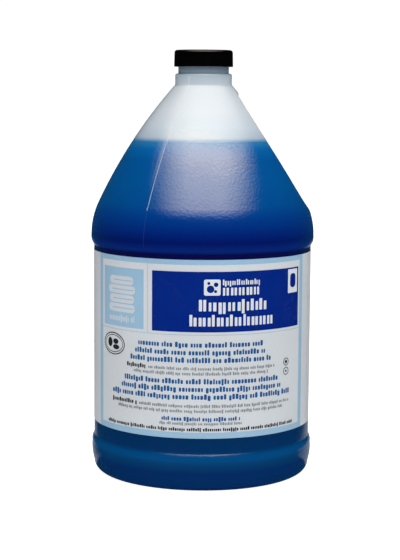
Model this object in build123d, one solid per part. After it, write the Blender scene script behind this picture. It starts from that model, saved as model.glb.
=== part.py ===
from build123d import *
import os
from math import cos, radians, sin, sqrt

# One US gallon round jug in blow-moulded polyethylene, with a 38-400 screw cap.
# Millimetres, +Z up, origin at the middle of the standing ring, handle towards +Y.

# --- bottle body ---
wall = 0.9              # blown wall
panel_r = 76.3          # label panel
panel_bottom = 26.2
panel_top = 160.6
base_belt_r = 77.7      # raised belt round the foot
base_belt_z = 20.6
belt_bow = 0.65          # belts swell out between their edges
heel_r = 7.5
ring_in_r = 62.0        # flat standing ring
ring_out_r = panel_r - heel_r
push_up = 6.0           # height of the hollow under the base, in the middle
push_up_edge = 4.5      # and at the foot of its slope
push_up_r = 52.0
shoulder_r = 78.25      # raised belt under the shoulder
shoulder_z = 167.2
crown_r = 53.7          # small arc over the shoulder belt
crown_angle = 25.05     # degrees turned by that arc
dome_r = 348.0          # long arc up to the neck

# --- neck and 38-400 finish ---
collar_r = 19.75
collar_bottom = 271.8
collar_top = 279.5
collar_round = 1.4
finish_r = 17.6         # thread root
thread_r = 18.75        # thread crest
bore_r = 15.3
lip_z = 293.2
lip_round = 0.6
bore_bottom = 277.2     # the neck bore widens below this height
throat_r = 17.6         # inside the collar
throat_bottom = 267.2
pitch = 25.4 / 6
thread_turns = 1.25
thread_z = 286.1        # middle of the ridge at its lower end
ridge_base, ridge_crest = 2.2, 1.0

# --- grip: the space between the body and the handle ---
grip_draft = 0.05       # the back wall leans forward by this much per mm outwards
grip_top = 262.2
grip_wall = [(7.0, 262.2), (6.0, 246.0), (9.0, 228.0), (17.5, 204.0), (27.0, 190.6)]
grip_floor = [(42.0, 184.6), (62.0, 180.6), (92.0, 177.0)]
grip_half = 92.0        # cut out to this half width
handle_w = 25.0
handle_d = 20.0
handle_inset = 2.0      # below the line of the dome
handle_edge = 8.5
handle_root = 4.0       # outside fillet where the handle meets the body
handle_foot = 1.0       # degrees up the crown arc
handle_head = 42.5      # degrees up the dome arc
rim_round = 3.0         # round the edge of the grip, outside and inside the wall
rim_round_in = 1.6

# --- moulding marks ---
seam_w, seam_h = 0.4, 0.15
seam_foot = 189.6
seam_dot = 0.8
pinch_len, pinch_w, pinch_h = 84.0, 1.6, 1.0

# --- construction ---
over = 2.0              # cutting shapes run past the faces they cut
bury = 0.3              # ridges are sunk this deep into their wall
near = 0.01             # two lengths closer than this count as one

# --- label, contents, closure ---
label_t = 0.15
label_bottom = 37.2
label_top = 157.2
label_gap = 0.8         # left open between the two ends
label_gap_at = 103.5    # degrees from -Y towards +X
fill_level = 236.0
fill_gap = 0.1
cap_r = 20.55
cap_top_r = 20.3
cap_bottom = 284.2
cap_top = 295.8
cap_round = 2.0
cap_edge = 0.35
cap_bore_r = 19.15
cap_thread_r = 18.05
cap_ridge_base, cap_ridge_crest = 1.8, 0.8
liner_r = 18.6
liner_t = 1.0


def dome_joint():
    """Where the small crown arc hands over to the long dome arc: r, z and the dome's centre."""
    a = radians(crown_angle)
    r = shoulder_r - crown_r + crown_r * cos(a)
    z = shoulder_z + crown_r * sin(a)
    return r, z, r - dome_r * cos(a), z - dome_r * sin(a)


def dome_at(z, inset=0.0):
    """Radius of the shoulder at height z, inset square to the surface."""
    _, _, cr, cz = dome_joint()
    return cr + sqrt((dome_r - inset) ** 2 - (z - cz) ** 2)


def arc_mid(cr, cz, radius, a0, a1):
    a = radians((a0 + a1) / 2)
    return cr + radius * cos(a), cz + radius * sin(a)


def bowed(a, b):
    """Shallow arc that swells away from the axis."""
    return ThreePointArc(a, ((a[0] + b[0]) / 2 + belt_bow, (a[1] + b[1]) / 2), b)


def half_outline(inset):
    """Right half of the body outline without its neck, drawn in a plane of (r, z)."""
    t = inset
    jr, jz, cr, cz = dome_joint()
    ji = (jr - t * cos(radians(crown_angle)), jz - t * sin(radians(crown_angle)))
    top_z = collar_bottom if t == 0 else throat_bottom
    top = (dome_at(top_z, t), top_z)
    mid_z = (ji[1] + top[1]) / 2
    crown_mid = arc_mid(shoulder_r - crown_r, shoulder_z, crown_r - t, 0, crown_angle)
    heel_mid = arc_mid(ring_out_r, heel_r, heel_r - t, -90, 0)
    r, belt = panel_r - t, base_belt_r - t
    edges = [
        Line((0, push_up + t), (push_up_r, push_up_edge + t)),
        Line((push_up_r, push_up_edge + t), (ring_in_r, t)),
        Line((ring_in_r, t), (ring_out_r, t)),
        ThreePointArc((ring_out_r, t), heel_mid, (r, heel_r)),
        bowed((r, heel_r), (belt, base_belt_z)),
        bowed((belt, base_belt_z), (r, panel_bottom)),
        Line((r, panel_bottom), (r, panel_top)),
        bowed((r, panel_top), (shoulder_r - t, shoulder_z)),
        ThreePointArc((shoulder_r - t, shoulder_z), crown_mid, ji),
        ThreePointArc(ji, (dome_at(mid_z, t), mid_z), top),
        Line(top, (0, top_z)),
        Line((0, top_z), (0, push_up + t)),
    ]
    return make_face(Wire(edges))


def turned(face):
    """Solid of revolution about Z of a face drawn in (r, z)."""
    return revolve(Plane.XZ * face, Axis.Z)


def side_face(edges):
    """A face drawn in (y, z), placed in the plane X = 0."""
    return Plane.YZ * make_face(Wire(edges))


def grip_outline(shift, grow):
    """Side view of the grip, moved forward by shift and grown on its wall, floor and top."""
    top, steps = grip_top + grow, len(grip_wall)
    back = [(y - shift - grow, z - grow * i / steps) for i, (y, z) in enumerate(grip_wall[1:], 1)]
    back = [(grip_wall[0][0] - shift - grow, top), *back]
    floor = [(y, z - grow) for y, z in grip_floor]
    corner = (floor[-1][0], top)
    return [Spline(*back, *floor), Line(floor[-1], corner), Line(corner, back[0])]


def grip_space(grow):
    """The gap behind the body lobe, wider towards both sides."""
    middle = side_face(grip_outline(0, grow))
    outer = side_face(grip_outline(grip_half * grip_draft, grow))
    halves = [loft([middle, Pos(s * grip_half, 0, 0) * outer], ruled=True) for s in (-1, 1)]
    return halves[0] + halves[1]


def handle_bar(inset):
    """Handle that follows the line of the dome, ends buried in the body."""
    _, _, cr, cz = dome_joint()
    crown = (shoulder_r - crown_r, shoulder_z, crown_r)
    dome = (cr, cz, dome_r)

    def at(arc, depth, angle):
        return arc_mid(arc[0], arc[1], arc[2] - depth, angle, angle)

    def rail(depth):
        """The two arcs of one side, from the foot up."""
        first = [at(crown, depth, k) for k in (handle_foot, (handle_foot + crown_angle) / 2, crown_angle)]
        second = [at(dome, depth, k) for k in (crown_angle, (crown_angle + handle_head) / 2, handle_head)]
        return ThreePointArc(*first), ThreePointArc(*second)

    outer, inner = rail(handle_inset + inset), rail(handle_inset + handle_d - inset)
    ends = [Line(outer[0] @ 0, inner[0] @ 0), Line(outer[1] @ 1, inner[1] @ 1)]
    half = handle_w / 2 - inset
    bar = extrude(side_face([*outer, *inner, *ends]), half, both=True)
    rails = [e for e in bar.edges().filter_by(GeomType.CIRCLE) if abs(abs(e.center().X) - half) < near]
    return fillet(rails, handle_edge - inset)


def moulding(inset):
    """Body lobe and handle; the cavity is the same shape inset by the wall."""
    blank, grip, bar = turned(half_outline(inset)), grip_space(inset), handle_bar(inset)
    lobe = blank - grip
    rims = new_edges(blank, grip, combined=lobe)
    if inset:
        return fillet(rims, rim_round_in) + bar
    lobe = fillet(rims, rim_round)
    whole = lobe + bar
    return fillet(new_edges(lobe, bar, combined=whole), handle_root)


def neck():
    """Collar and plain neck, solid."""
    low = throat_bottom
    collar = Pos(0, 0, (low + collar_top) / 2) * Cylinder(collar_r, collar_top - low)
    collar = fillet(collar.edges().group_by(Axis.Z)[-1], collar_round)
    tube = Pos(0, 0, (low + lip_z) / 2) * Cylinder(finish_r, lip_z - low)
    return collar + fillet(tube.edges().group_by(Axis.Z)[-1], lip_round)


def neck_passage():
    """Bore under the lip, flaring into the throat inside the collar."""
    flare = throat_r - bore_r
    low, high = throat_bottom - bury, lip_z + over
    outline = Polyline((0, low), (throat_r, low), (throat_r, bore_bottom - flare),
                       (bore_r, bore_bottom), (bore_r, high), (0, high), close=True)
    return turned(make_face(outline))


def thread(root, crest, base_w, crest_w, z):
    """Right-handed helical ridge, its section sunk into the wall it stands on."""
    helix = Helix(pitch, pitch * thread_turns, root, center=(0, 0, z))
    buried = root + (bury if root > crest else -bury)
    section = Plane.XZ * make_face(Polyline(
        (buried, z - base_w / 2), (crest, z - crest_w / 2), (crest, z + crest_w / 2),
        (buried, z + base_w / 2), close=True))
    return sweep(section, path=helix, is_frenet=True)


def mould_marks():
    """Parting line down the front of the shoulder, ending in a dot, and the pinched seam under the base."""
    top = throat_bottom
    slot = Pos(0, -shoulder_r / 2, (seam_foot + top) / 2) * Box(seam_w, shoulder_r, top - seam_foot)
    line = turned(half_outline(-seam_h)) & slot
    dot = Pos(0, seam_h - dome_at(seam_foot), seam_foot) * Sphere(seam_dot)
    pinch = Pos(0, 0, push_up + (over - pinch_h) / 2) * Box(pinch_w, pinch_len, pinch_h + over)
    return line, dot, pinch


def bottle_shell():
    solid = moulding(0) + neck()
    for mark in mould_marks():
        solid += mark
    solid = solid - moulding(wall) - neck_passage()
    return solid + thread(finish_r, thread_r, ridge_base, ridge_crest, thread_z)


def detergent_fill():
    """The liquid, clear of the wall by a hair, with a level surface in body and handle."""
    below = Pos(0, 0, fill_level / 2) * Box(2 * grip_half, 2 * grip_half, fill_level)
    return moulding(wall + fill_gap) & below


def wrap_label():
    height = label_top - label_bottom
    tall = Pos(0, 0, label_bottom + height / 2)
    ring = tall * (Cylinder(panel_r + label_t, height) - Cylinder(panel_r, height))
    slit = tall * Rot(0, 0, label_gap_at) * Pos(0, -panel_r, 0) * Box(label_gap, over, height)
    return ring - slit


def screw_cap():
    roof = lip_z + liner_t
    outline = Polyline((0, cap_bottom), (cap_r, cap_bottom), (cap_top_r, cap_top), (0, cap_top), close=True)
    blank = turned(make_face(outline))
    blank = fillet(blank.edges().group_by(Axis.Z)[-1], cap_round)
    blank = chamfer(blank.edges().group_by(Axis.Z)[0], cap_edge)
    depth = roof - cap_bottom
    blank -= Pos(0, 0, cap_bottom + depth / 2) * Cylinder(cap_bore_r, depth)
    ridge = thread(cap_bore_r, cap_thread_r, cap_ridge_base, cap_ridge_crest, thread_z)
    return blank + Rot(0, 0, 180) * ridge


def cap_liner():
    return Pos(0, 0, lip_z + liner_t / 2) * Cylinder(liner_r, liner_t)


os.makedirs("parts", exist_ok=True)
export_step(bottle_shell(), "parts/bottle_shell.step")
export_step(detergent_fill(), "parts/detergent_fill.step")
export_step(wrap_label(), "parts/wrap_label.step")
export_step(screw_cap(), "parts/screw_cap.step")
export_step(cap_liner(), "parts/cap_liner.step")
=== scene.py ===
import math
import random

import bmesh
import bpy
from mathutils import Matrix, Vector


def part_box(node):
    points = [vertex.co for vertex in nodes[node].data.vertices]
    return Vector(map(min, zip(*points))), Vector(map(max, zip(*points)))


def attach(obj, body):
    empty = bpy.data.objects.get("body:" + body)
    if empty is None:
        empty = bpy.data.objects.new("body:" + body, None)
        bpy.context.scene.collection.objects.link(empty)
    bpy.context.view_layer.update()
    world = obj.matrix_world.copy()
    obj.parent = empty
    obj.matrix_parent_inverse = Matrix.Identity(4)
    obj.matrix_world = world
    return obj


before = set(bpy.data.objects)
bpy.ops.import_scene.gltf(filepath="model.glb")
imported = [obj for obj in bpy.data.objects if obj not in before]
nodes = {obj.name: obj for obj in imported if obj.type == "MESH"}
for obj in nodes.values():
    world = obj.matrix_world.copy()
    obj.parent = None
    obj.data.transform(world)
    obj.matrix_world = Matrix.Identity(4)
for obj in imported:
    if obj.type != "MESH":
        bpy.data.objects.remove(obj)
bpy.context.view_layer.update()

# A round gallon jug of blue detergent. Metres, +Z up, handle towards +Y, parting plane at X = 0.
MM = 0.001
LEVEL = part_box("detergent_fill")[1][2]      # height of the liquid's surface


# ---------------------------------------------------------------- node helpers
def srgb(hex_code):
    """Linear RGBA from a hex colour."""
    out = []
    for i in (0, 2, 4):
        c = int(hex_code[i:i + 2], 16) / 255
        out.append(c / 12.92 if c <= 0.04045 else ((c + 0.055) / 1.055) ** 2.4)
    return (*out, 1.0)


def put(tree, value, socket):
    """Set a socket to a number or colour, or link another socket to it."""
    if isinstance(value, (int, float, tuple)):
        socket.default_value = value
    else:
        tree.links.new(value, socket)


def calculate(tree, operation, *values):
    """The result of a math node. Each value is a number or a socket."""
    n = tree.nodes.new("ShaderNodeMath")
    n.operation = operation
    for socket, value in zip(n.inputs, values):
        put(tree, value, socket)
    return n.outputs[0]


def smooth_step(tree, value, low, high, out_low=0.0, out_high=1.0):
    """Ease from one output to another while the value goes from low to high."""
    n = tree.nodes.new("ShaderNodeMapRange")
    n.interpolation_type = "SMOOTHSTEP"
    sockets = ("Value", "From Min", "From Max", "To Min", "To Max")
    for socket, v in zip(sockets, (value, low, high, out_low, out_high)):
        put(tree, v, n.inputs[socket])
    return n.outputs["Result"]


def by_ray(tree, ray, otherwise, value):
    """One value for rays of this kind, and another for the rest."""
    n = tree.nodes.new("ShaderNodeMapRange")
    tree.links.new(tree.nodes.new("ShaderNodeLightPath").outputs[ray], n.inputs["Value"])
    put(tree, otherwise, n.inputs["To Min"])
    put(tree, value, n.inputs["To Max"])
    return n.outputs["Result"]


def colour_ramp(tree, value, stops):
    """Colours by (position, colour), at least two of them."""
    n = tree.nodes.new("ShaderNodeValToRGB")
    tree.links.new(value, n.inputs[0])
    elements = n.color_ramp.elements
    while len(elements) < len(stops):
        elements.new(0.5)
    for item, (position, _) in zip(elements, stops):
        item.position = position
    for item, (_, colour) in zip(elements, stops):
        item.color = colour
    return n.outputs["Color"]


class Mat:
    """A node material, with short calls for the few nodes used here."""

    def __init__(self, name, roughness, specular=0.5, ior=1.5):
        self.mat = bpy.data.materials.new(name)
        self.mat.use_nodes = True
        self.tree = self.mat.node_tree
        self.bsdf = self.tree.nodes["Principled BSDF"]
        self.bsdf.inputs["Roughness"].default_value = roughness
        self.bsdf.inputs["Specular IOR Level"].default_value = specular
        self.bsdf.inputs["IOR"].default_value = ior
        self.coord = self.node("ShaderNodeTexCoord").outputs["Object"]
        split = self.node("ShaderNodeSeparateXYZ")
        self.link(self.coord, split.inputs[0])
        self.x, self.y, self.z = split.outputs

    def node(self, kind):
        return self.tree.nodes.new(kind)

    def link(self, a, b):
        self.tree.links.new(a, b)

    def math(self, operation, *values):
        return calculate(self.tree, operation, *values)

    def smooth(self, value, low, high, out_low=0.0, out_high=1.0):
        return smooth_step(self.tree, value, low, high, out_low, out_high)

    def band(self, value, low, high, soft):
        """1 between low and high, 0 outside, with soft edges."""
        up = self.smooth(value, low - soft, low + soft)
        down = self.smooth(value, high - soft, high + soft, 1.0, 0.0)
        return self.math("MULTIPLY", up, down)

    def mix(self, factor, a, b, blend="MIX"):
        n = self.node("ShaderNodeMix")
        n.data_type = "RGBA"
        n.blend_type = blend
        for socket, value in ((n.inputs[0], factor), (n.inputs[6], a), (n.inputs[7], b)):
            put(self.tree, value, socket)
        return n.outputs[2]

    def noise(self, scale, detail=2.0):
        n = self.node("ShaderNodeTexNoise")
        n.inputs["Scale"].default_value = scale
        n.inputs["Detail"].default_value = detail
        self.link(self.coord, n.inputs["Vector"])
        return n.outputs["Fac"]

    def uneven(self, scale, detail, low, high):
        """A number that wanders between two ends over the surface."""
        return self.smooth(self.noise(scale, detail), 0.3, 0.7, low, high)

    def ramp(self, value, stops):
        return colour_ramp(self.tree, value, [(position, srgb(colour)) for position, colour in stops])

    def bump(self, height, strength, distance):
        n = self.node("ShaderNodeBump")
        n.inputs["Strength"].default_value = strength
        n.inputs["Distance"].default_value = distance
        self.link(height, n.inputs["Height"])
        self.link(n.outputs[0], self.bsdf.inputs["Normal"])

    def colour(self, source):
        self.link(source, self.bsdf.inputs["Base Color"])

    def rough(self, source):
        self.link(source, self.bsdf.inputs["Roughness"])


# ---------------------------------------------------------------- materials
SKIN_SPAN = 0.30            # height that the skin's colours are spread over
SKIN_LIGHT_AND_SHADE = [
    # heel and base belt, then up to the label: darker at the very foot, with painted light on the lighter
    # band at the base belt's top edge
    (0.000, "001749"), (0.005, "002655"), (0.013, "002458"), (0.0185, "00345f"),
    (0.0220, "003f73"), (0.0245, "004378"), (0.0275, "002957"), (0.036, "002851"),
    # above the label, shoulder belt and crown: painted shade in the recess over the label's top, then a
    # painted light band under the belt's rolled lower edge
    (0.1603, "05053e"), (0.1625, "001f69"), (0.168, "001056"), (0.174, "001f6a"),
    # shoulder up to the liquid's level: the blue lightens upwards, painted light shining through the liquid
    (0.184, "00347d"), (0.192, "004587"), (0.206, "004c8d"), (0.221, "004e90"),
    (LEVEL - 0.0074, "045da0"), (LEVEL - 0.0026, "2a74a9"),
    # empty part of the shoulder
    (LEVEL, "afbcc9"), (0.243, "c2cdd7"), (0.2535, "cfd6dc"), (0.2705, "d1d8de"),
    # collar and neck: darker towards the cap, painted shadow under the cap
    (0.2722, "b0bbc4"), (0.2785, "9ca9b4"), (0.2797, "76899a"), (0.2835, "5e6c78"), (0.289, "8b979f"),
]
SEAM_FOOT, SEAM_HEAD = 0.1887, 0.2777       # where the painted highlight on the parting line is clear
SEAM_HALF, SEAM_SOFT = 0.3 * MM, 0.12 * MM


def parting_line_highlight(m, skin_light_and_shade):
    """Painted highlights on the parting line down the front: clear above its foot, faint below, with a
    painted glow on its -X side.
    """
    front = m.math("LESS_THAN", m.y, 0.0)
    across = m.smooth(m.math("ABSOLUTE", m.x), SEAM_HALF - SEAM_SOFT, SEAM_HALF + SEAM_SOFT, 1.0, 0.0)
    line = m.math("MULTIPLY", across, front)
    clear = m.math("MULTIPLY", line, m.band(m.z, SEAM_FOOT, SEAM_HEAD, 0.0006))
    faint = m.math("MULTIPLY", line, m.band(m.z, 0.166, 0.188, 0.006))
    glow = m.math("MULTIPLY", m.band(m.x, -2.6 * MM, 0.2 * MM, 1.0 * MM), front)
    glow = m.math("MULTIPLY", glow, m.band(m.z, 0.212, 0.268, 0.014))
    # painted highlight: a soft glow beside the ridge, a clear light line on it and a faint one below its foot
    skin_light_and_shade = m.mix(m.math("MULTIPLY", glow, 0.10), skin_light_and_shade, srgb("e6eef6"))
    skin_light_and_shade = m.mix(m.math("MULTIPLY", clear, 0.35), skin_light_and_shade, srgb("e6eef6"))
    return m.mix(m.math("MULTIPLY", faint, 0.03), skin_light_and_shade, srgb("9fb8dc"))


def milky_plastic():
    """Natural polyethylene, blue where liquid stands behind it, with painted light and shade in its colours
    by height and painted highlights on the parting line.
    """
    m = Mat("natural_polyethylene", 0.1)
    m.bsdf.inputs["Sheen Weight"].default_value = 0.12
    m.bsdf.inputs["Sheen Roughness"].default_value = 0.4
    m.bsdf.inputs["Sheen Tint"].default_value = (0.0, 0.35, 0.65, 1)
    height = m.math("DIVIDE", m.z, SKIN_SPAN)
    skin_light_and_shade = m.ramp(height, [(z / SKIN_SPAN, colour) for z, colour in SKIN_LIGHT_AND_SHADE])
    skin_light_and_shade = m.mix(m.uneven(9.0, 3.0, 0.0, 0.10), skin_light_and_shade, srgb("ffffff"), "SOFT_LIGHT")
    m.colour(parting_line_highlight(m, skin_light_and_shade))
    peel = m.noise(600.0, 1.0)
    wave = m.noise(45.0, 1.0)
    m.bump(m.math("ADD", m.math("MULTIPLY", peel, 2.7), m.math("MULTIPLY", wave, 0.6)), 0.06, 0.6 * MM)
    m.rough(m.uneven(30.0, 2.0, 0.085, 0.11))
    return m.mat


def liquid():
    m = Mat("blue_detergent", 0.08, ior=1.34)
    m.colour(m.ramp(m.noise(14.0, 4.0), [(0.3, "002f8a"), (0.7, "0a4aa8")]))
    m.rough(m.uneven(40.0, 2.0, 0.05, 0.11))
    return m.mat


def black_plastic():
    m = Mat("black_cap", 0.18, specular=0.22)
    m.colour(m.ramp(m.noise(60.0, 3.0), [(0.3, "010101"), (0.75, "030304")]))
    m.bump(m.noise(900.0), 0.08, 0.2 * MM)
    m.rough(m.uneven(120.0, 3.0, 0.15, 0.20))
    return m.mat


def foam():
    m = Mat("liner_foam", 0.8, specular=0.3)
    cells = m.node("ShaderNodeTexVoronoi")
    cells.inputs["Scale"].default_value = 1400.0
    m.link(m.coord, cells.inputs["Vector"])
    m.colour(m.mix(m.smooth(cells.outputs["Distance"], 0.0, 0.6), srgb("d6d6d0"), srgb("f1f1ec")))
    m.bump(cells.outputs["Distance"], 0.3, 0.2 * MM)
    return m.mat


def film(name, dark, light, roughness=0.42, specular=0.1):
    """Printed label film: a fine mottle in the ink and a faint waviness in the sheet."""
    m = Mat(name, roughness, specular)
    mottle = m.noise(700.0)
    broad = m.noise(16.0)
    tone = m.math("ADD", m.math("MULTIPLY", mottle, 0.4), m.math("MULTIPLY", broad, 0.6))
    m.colour(m.ramp(tone, [(0.3, dark), (0.7, light)]))
    m.bump(m.math("ADD", m.math("MULTIPLY", broad, 0.8), m.math("MULTIPLY", mottle, 0.1)), 0.06, 0.4 * MM)
    m.rough(m.uneven(90.0, 2.0, roughness - 0.05, roughness + 0.05))
    return m.mat


def assign(node, material):
    obj = nodes[node]
    if not obj.material_slots:
        obj.data.materials.append(material)
    for s in obj.material_slots:
        s.link = "OBJECT"
        s.material = material


INKS = {
    "pale_blue": film("ink_pale_blue", "84a5be", "8eafc7"),
    "deep_blue": film("ink_deep_blue", "001d70", "002478", 0.24, 0.06),
    "text_blue": film("ink_text_blue", "0e4a7e", "165388"),
    "grey": film("ink_grey", "6d7277", "7a7f84"),
    "black": film("ink_black", "1b1d20", "232528"),
    "white": film("ink_white", "c0c6cb", "cacfd4"),
    "ground": film("ink_ground", "b4bac0", "bcc2c8"),
}
assign("bottle_shell", milky_plastic())
assign("detergent_fill", liquid())
assign("screw_cap", black_plastic())
assign("cap_liner", foam())
assign("wrap_label", film("label_ground", "b9bec2", "c1c6ca"))


# ---------------------------------------------------------------- flat shapes, in mm
# u runs round the label from the middle of the front design, v up from the label's foot.
def rect(u0, u1, v0, v1):
    return [(u0, v0), (u1, v0), (u1, v1), (u0, v1)]


def rounded(u0, u1, v0, v1, r, steps=4):
    """A rectangle with rounded corners."""
    r = min(r, (u1 - u0) / 2 - 1e-3, (v1 - v0) / 2 - 1e-3)
    corners = ((u1 - r, v0 + r, -90), (u1 - r, v1 - r, 0), (u0 + r, v1 - r, 90), (u0 + r, v0 + r, 180))
    pts = []
    for cu, cv, start in corners:
        for i in range(steps + 1):
            a = math.radians(start + 90 * i / steps)
            pts.append((cu + r * math.cos(a), cv + r * math.sin(a)))
    return pts


def oval(cu, cv, half_u, half_v, steps=32):
    angles = (2 * math.pi * i / steps for i in range(steps))
    return [(cu + half_u * math.cos(a), cv + half_v * math.sin(a)) for a in angles]


def disc(cu, cv, r):
    return oval(cu, cv, r, r, 24)


def oval_ring(cu, cv, half_u, half_v, width, steps=48):
    """Quads between an oval and the same oval drawn in by a width."""
    outer = oval(cu, cv, half_u, half_v, steps)
    inner = oval(cu, cv, half_u - width, half_v - width, steps)
    return [[inner[i - 1], outer[i - 1], outer[i], inner[i]] for i in range(steps)]


def frame_lines(u0, u1, v0, v1, w_side, w_low, w_high):
    """The four sides of a frame."""
    return [rect(u0, u0 + w_side, v0, v1), rect(u1 - w_side, u1, v0, v1),
            rect(u0 + w_side, u1 - w_side, v0, v0 + w_low), rect(u0 + w_side, u1 - w_side, v1 - w_high, v1)]


LOW = 0.76                  # height of most bars, as a part of a tall one


def dummy_line(u0, u1, v, size, weight, rng, word=(3, 9)):
    """A line of dummy copy: words of upright strokes with no letter in them."""
    shapes = []
    u = u0
    stroke = size * weight
    gap = size * 0.15
    while u < u1 - stroke:
        for _ in range(rng.randint(*word)):
            w = stroke * rng.uniform(0.85, 1.5)
            if u + w > u1:
                break
            top = size * (1.0 if rng.random() < 0.3 else LOW)
            foot = size * (0.22 if rng.random() < 0.12 else 0.0)
            shapes.append(rounded(u, u + w, v - foot, v + top, size * 0.16, 2))
            u += w + gap
        u += size * 0.38
    return shapes


def title(u0, u1, v, size, strokes, rng, low=LOW):
    """A title of bold upright bars between two ends, with no letter in it. Most bars are this low."""
    pitch = (u1 - u0) / strokes
    bars = []
    for i in range(strokes):
        w = pitch * rng.uniform(0.52, 0.68)
        u = u0 + pitch * (i + (0.0 if i % 2 else 0.1))
        top = size * (1.0 if i == 0 or rng.random() < 0.2 else low)
        foot = size * (0.24 if rng.random() < 0.08 else 0.0)
        bars.append(rounded(u, u + w, v - foot, v + top, 0.35, 2))
    return bars


# ---------------------------------------------------------------- printing on the label
label_low, label_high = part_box("wrap_label")
LABEL_R = label_high[0]
LABEL_Z = label_low[2]
LABEL_TALL = (label_high[2] - label_low[2]) / MM
ART_AT = math.radians(27)       # the middle of the front design, from -Y towards +X
INK = 0.04 * MM                 # thickness of one printed layer
SUNK = 0.02 * MM                # each layer starts this far inside what is under it
STRIP = 3.0                     # flat shapes are cut this often before they are wrapped, mm


def print_layer(name, ink, shapes, layer=1):
    """Closed thin shapes wrapped on the label, from outlines in mm. Layers count up from the label."""
    bm = bmesh.new()
    for outline in shapes:
        bm.faces.new([bm.verts.new((u, v, 0.0)) for u, v in outline])
    us = [v.co.x for v in bm.verts]
    for k in range(math.ceil(min(us) / STRIP), math.ceil(max(us) / STRIP)):
        geom = bm.verts[:] + bm.edges[:] + bm.faces[:]
        bmesh.ops.bisect_plane(bm, geom=geom, plane_co=(k * STRIP, 0, 0), plane_no=(1, 0, 0), dist=1e-5)
    raised = bmesh.ops.extrude_face_region(bm, geom=bm.faces[:], use_keep_orig=True)
    for v in (g for g in raised["geom"] if isinstance(g, bmesh.types.BMVert)):
        v.co.z = 1.0
    for v in bm.verts:
        a = ART_AT + v.co.x * MM / LABEL_R
        r = LABEL_R + INK * (layer - 1 + v.co.z) - (SUNK if v.co.z < 0.5 else 0.0)
        v.co = Vector((r * math.sin(a), -r * math.cos(a), LABEL_Z + v.co.y * MM))
    bmesh.ops.recalc_face_normals(bm, faces=bm.faces[:])
    mesh = bpy.data.meshes.new(name)
    bm.to_mesh(mesh)
    bm.free()
    mesh.materials.append(INKS[ink])
    piece = bpy.data.objects.new(name, mesh)
    bpy.context.scene.collection.objects.link(piece)
    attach(piece, "bottle")


# layout of the front design, mm
ART_LEFT, ART_RIGHT = -84.2, 89.2
BORDER, BORDER_LOW, BORDER_HIGH = 4.6, 4.0, 3.4
RULE = 0.4                      # width of the thin rules
RULE_V = 69.7                   # the rule under the panel
RULE_U = -34.1                  # the rule between the box and the panel
BOX = (-76.9, -37.0, 72.0, 112.2)
PANEL = (-30.5, 82.6, 71.8, 112.2)
COPY_U = 3.8                    # the middle of the copy
LEADING = 5.2                   # from line to line


def front_frame():
    inside = (ART_LEFT + BORDER, ART_RIGHT - BORDER)
    print_layer("label_frame", "pale_blue", [
        *frame_lines(ART_LEFT, ART_RIGHT, 0.0, LABEL_TALL, BORDER, BORDER_LOW, BORDER_HIGH),
        rect(RULE_U, RULE_U + RULE, RULE_V + RULE, LABEL_TALL - BORDER_HIGH),
        rect(*inside, RULE_V, RULE_V + RULE), rect(*BOX)])
    print_layer("label_panel", "deep_blue", [rect(*PANEL)])


def towel_mark(rng):
    """A generic mark in the left box: a stack of folded towels over a short line of copy."""
    foot, step, thick = 82.0, 6.3, 5.5
    folds = ((-70.0, -44.2), (-69.2, -44.8), (-70.4, -44.0), (-69.0, -45.6))
    towels, creases = [], []
    for i, (u0, u1) in enumerate(folds):
        v = foot + step * i
        towels.append(rounded(u0, u1, v, v + thick, 2.4, 6))
        creases.append(rounded(u0 + 4.0, u1 - 0.9, v + 2.4, v + 3.1, 0.3, 2))
    copy = dummy_line(-69.6, -44.0, 75.7, 4.4, 0.20, rng, (12, 12))
    print_layer("label_mark", "ground", towels + copy, 2)
    print_layer("label_mark_creases", "pale_blue", creases, 3)


def panel_copy(rng):
    """White titles on the panel, a sign with bubbles before them and a tab at the right end."""
    copy = [rounded(5.2, 16.3, 96.4, 107.1, 1.2)]
    copy += title(17.6, 44.7, 103.2, 3.8, 17, rng)
    copy += title(17.6, 44.9, 96.3, 5.2, 10, rng, 1.0)
    copy += title(1.6, 50.5, 85.9, 7.7, 15, rng)
    copy += title(-4.6, 56.2, 75.8, 7.7, 20, rng)
    copy += [rounded(69.9, 80.9, 95.0, 111.1, 0.5)]
    print_layer("label_panel_copy", "white", copy, 2)
    bubbles = [disc(9.6, 100.6, 2.5), disc(13.2, 103.6, 1.5), disc(12.9, 99.1, 1.0), disc(8.4, 104.5, 1.0)]
    print_layer("label_panel_bubbles", "deep_blue", bubbles, 3)
    print_layer("label_panel_tab", "deep_blue", [rounded(72.2, 78.6, 98.6, 108.2, 2.6)], 3)


def centred(half, v, size, weight, rng):
    """A dummy line about the middle of the copy."""
    return dummy_line(COPY_U - half, COPY_U + half, v, size, weight, rng)


def copy_blocks(rng):
    """Two blocks of copy, each over a headed line and a line of small print. Gives the black shapes."""
    large = ((61.5, (45.0, 47.6, 51.6)), (36.8, (57.0, 60.0, 69.4)))     # first line, half width of each line
    headed = ((46.1, -51.0, -34.6, 57.8, 10), (20.8, -65.6, -41.8, 72.4, 13))
    blue, grey, black = [], [], []
    for first, halves in large:
        for i, half in enumerate(halves):
            blue += centred(half, first - LEADING * i, 3.7, 0.36, rng)
    for v, start, heading_end, end, strokes in headed:
        black += dummy_line(start, heading_end, v, 3.0, 0.34, rng, (strokes, strokes))
        grey += dummy_line(heading_end + 1.4, end, v, 2.3, 0.30, rng)
        grey += dummy_line(start + 6.0, end - 6.0, v - 3.4, 2.3, 0.30, rng)
    blue += centred(27.0, 11.8, 2.9, 0.36, rng)
    grey += centred(28.6, 9.0, 2.1, 0.32, rng)
    black += dummy_line(-71.0, 76.8, 4.9, 2.5, 0.34, rng)
    print_layer("label_copy_blue", "text_blue", blue)
    print_layer("label_copy_grey", "grey", grey)
    return black


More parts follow.
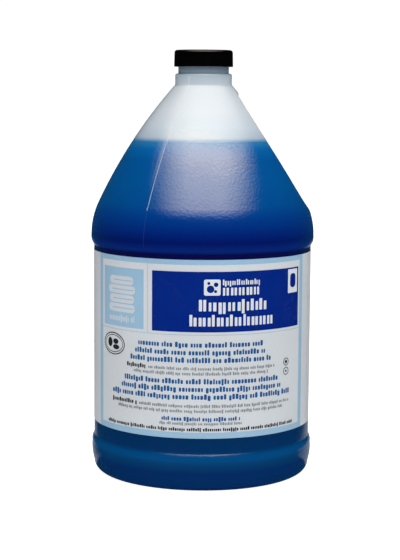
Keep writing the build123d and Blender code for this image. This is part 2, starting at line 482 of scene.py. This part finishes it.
def signs():
    """An oval badge with three drops on the left, and two small round signs on the right."""
    badge_u, badge_v, sign_u = -65.1, 59.6, 68.8
    shapes = oval_ring(badge_u, badge_v, 11.8, 7.75, 0.75) + oval_ring(badge_u, badge_v, 10.0, 6.1, 0.5)
    shapes += [oval(-69.0, 60.2, 2.6, 3.2), oval(-62.6, 61.2, 2.9, 1.9), oval(-62.2, 57.4, 3.4, 1.7)]
    for v, core in ((48.2, 1.2), (41.8, 0.8)):
        shapes += oval_ring(sign_u, v, 2.75, 2.75, 0.55) + [disc(sign_u, v, core)]
    return shapes


def front_design():
    rng = random.Random(11)
    front_frame()
    towel_mark(rng)
    panel_copy(rng)
    print_layer("label_copy_black", "black", copy_blocks(rng) + signs())


def back_design():
    """Two columns of dummy directions on the far side, a guess: that side isn't seen."""
    rng = random.Random(23)
    half_turn = math.pi * LABEL_R / MM
    apart, half, margin, rule = 58, 50, 3, 0.5
    leading, paragraph = 3.9, 2.6
    heads, copy, rules = [], [], []
    for centre in (half_turn - apart, half_turn + apart):
        u0, u1 = centre - half, centre + half
        rules += frame_lines(u0 - margin, u1 + margin, 6, 114, rule, rule, rule)
        heads.append(rect(u0, u1, 104, 111))
        v = 98.0
        while v > 12:
            last = u1 - (rng.uniform(10, 45) if rng.random() < 0.25 else rng.uniform(0, 6))
            copy += dummy_line(u0, last, v, 2.1, 0.38, rng)
            v -= leading
            if rng.random() < 0.14:
                v -= paragraph
    print_layer("label_back_rules", "pale_blue", rules)
    print_layer("label_back_heads", "deep_blue", heads)
    print_layer("label_back_copy", "grey", copy)


front_design()
back_design()


# ---------------------------------------------------------------- camera
CAM_AT = math.radians(30)       # from -Y towards +X
CAM_DISTANCE, CAM_HEIGHT = 1.1275, 0.27225
PITCH, ROLL, YAW = math.radians(6.957), math.radians(0.369), math.radians(-0.079)
LENS, SENSOR = 103.2, 36.0      # mm


def camera():
    turn = Matrix.Rotation(CAM_AT, 3, "Z")
    heading = Vector((math.sin(YAW) * math.cos(PITCH), math.cos(YAW) * math.cos(PITCH), -math.sin(PITCH)))
    look = turn @ heading
    level = turn @ Vector((math.cos(YAW), -math.sin(YAW), 0))
    above = level.cross(look)
    right = math.cos(ROLL) * level + math.sin(ROLL) * above
    up = -math.sin(ROLL) * level + math.cos(ROLL) * above
    data = bpy.data.cameras.new("camera")
    data.sensor_width = SENSOR
    data.lens = LENS
    obj = bpy.data.objects.new("camera", data)
    place = Matrix.Translation(turn @ Vector((0, -CAM_DISTANCE, CAM_HEIGHT)))
    obj.matrix_world = place @ Matrix((right, up, -look)).transposed().to_4x4()
    bpy.context.scene.collection.objects.link(obj)
    bpy.context.scene.camera = obj


# ---------------------------------------------------------------- floor, lights and surround
def floor():
    mesh = bpy.data.meshes.new("floor")
    half = 6.0
    corners = [(-half, -half, 0), (half, -half, 0), (half, half, 0), (-half, half, 0)]
    mesh.from_pydata(corners, [], [(0, 1, 2, 3)])
    obj = bpy.data.objects.new("floor", mesh)
    bpy.context.scene.collection.objects.link(obj)
    m = Mat("floor", 0.6, specular=0.2)
    m.colour(m.ramp(m.noise(3.0), [(0.3, "f7f7f8"), (0.7, "fafafb")]))
    m.bsdf.inputs["Emission Color"].default_value = (1, 1, 1, 1)
    glow = by_ray(m.tree, "Is Camera Ray", 0.72, 1.0)   # plain white to the eye, dimmer as a light on the jug
    m.link(glow, m.bsdf.inputs["Emission Strength"])
    mesh.materials.append(m.mat)
    obj.visible_glossy = False


def around(azimuth, distance, height):
    """A point at this azimuth from the camera's side, in degrees to its right."""
    a = CAM_AT + math.radians(azimuth)
    return (distance * math.sin(a), -distance * math.cos(a), height)


def area(name, where, rotation, size, power, diffuse=True, glossy=True):
    data = bpy.data.lights.new(name, "AREA")
    data.shape = "RECTANGLE"
    data.size, data.size_y = size
    data.energy = power
    obj = bpy.data.objects.new(name, data)
    obj.location = where
    obj.rotation_euler = rotation
    obj.visible_diffuse = diffuse
    obj.visible_glossy = glossy
    obj.visible_camera = False
    bpy.context.scene.collection.objects.link(obj)
    return obj


def soft_light(name, where, target, size, power):
    """A light that faces a point and shows in no reflection."""
    rotation = (Vector(target) - Vector(where)).to_track_quat("-Z", "Y").to_euler()
    area(name, where, rotation, size, power, glossy=False)


def feather(light, across, stops, widths, bend=0.0):
    """Soften an area light: its sides over this part of its half width, its colour along it by stops.

    A stop is a place along the light from 0 to 1, a strength and a warmth. The widths are the parts of the
    full width that are lit at 0 and at 1. bend moves the stops on towards 1 at the sides."""
    light.data.use_nodes = True
    tree = light.data.node_tree
    uv = tree.nodes.new("ShaderNodeSeparateXYZ")
    tree.links.new(tree.nodes.new("ShaderNodeNewGeometry").outputs["Parametric"], uv.inputs[0])
    off = calculate(tree, "ABSOLUTE", calculate(tree, "MULTIPLY_ADD", uv.outputs[0], 2.0, -1.0))
    width = calculate(tree, "MULTIPLY_ADD", uv.outputs[1], widths[1] - widths[0], widths[0])
    fade = smooth_step(tree, calculate(tree, "DIVIDE", off, width), 1.0 - across, 1.0, 1.0, 0.0)
    bent = calculate(tree, "MULTIPLY_ADD", calculate(tree, "MULTIPLY", off, off), -bend, 1.0)
    along = calculate(tree, "MULTIPLY", uv.outputs[1], bent)
    colours = [(v, (power, power * (1 - 0.35 * warm), power * (1 - warm), 1)) for v, power, warm in stops]
    emission = tree.nodes["Emission"]
    tree.links.new(colour_ramp(tree, along, colours), emission.inputs["Color"])
    tree.links.new(fade, emission.inputs["Strength"])


def reflected_lights():
    """Two lights that show only in gloss: the streak on the shoulder, and the floor behind the jug."""
    down, up = (0, 0, CAM_AT), (math.pi, 0, CAM_AT + math.pi)
    softbox = area("softbox_reflection", around(4.9, 0.72, 1.25), down, (3.12, 2.5), 292, diffuse=False)
    feather(softbox, 0.84, (
        (0.10, 0.0, 0.0), (0.19, 0.09, -1.2), (0.27, 0.28, 0.05), (0.333, 0.48, 0.26), (0.375, 0.58, 0.32),
        (0.47, 0.69, 0.34), (0.53, 1.0, 0.42), (0.565, 1.0, 0.45), (0.605, 0.38, 0.2), (0.68, 0.25, 0.1),
        (1.0, 0.20, 0.1)), (1.16, 0.76), bend=0.75)
    behind = area("floor_reflection", around(178.5, 0.6, 0.0005), up, (1.2, 1.2), 1.6, diffuse=False)
    feather(behind, 0.3, ((0.0, 1.0, 0.0), (1.0, 1.0, 0.0)), (0.23, 1.0))


def matte_lights():
    middle = (0, 0, 0.15)
    soft_light("key", around(6, 1.3, 1.5), middle, (1.4, 1.4), 22.5)
    soft_light("left", around(-80, 1.6, 0.8), middle, (1.0, 1.6), 0.6)
    soft_light("right", around(85, 1.6, 0.8), middle, (1.0, 1.6), 1.6)
    soft_light("overhead", (0, 0, 1.7), (0, 0, 0), (1.0, 1.0), 6)
    soft_light("rear", around(180, 1.8, 1.2), middle, (2.0, 1.4), 12)


FILL, MIRRORED, SEEN = 0.16, 0.01, 1.05     # the surround for matte surfaces, for gloss and for the eye


def surround():
    world = bpy.data.worlds.new("studio")
    world.use_nodes = True
    tree = world.node_tree
    back = tree.nodes["Background"]
    back.inputs["Color"].default_value = (1, 1, 1, 1)
    on_objects = by_ray(tree, "Is Glossy Ray", FILL, MIRRORED)
    tree.links.new(by_ray(tree, "Is Camera Ray", on_objects, SEEN), back.inputs["Strength"])
    world.cycles.sampling_method = "NONE"       # so that gloss meets only the dim surround
    bpy.context.scene.world = world


camera()
floor()
reflected_lights()
matte_lights()
surround()
bpy.context.scene.view_settings.view_transform = "Standard"
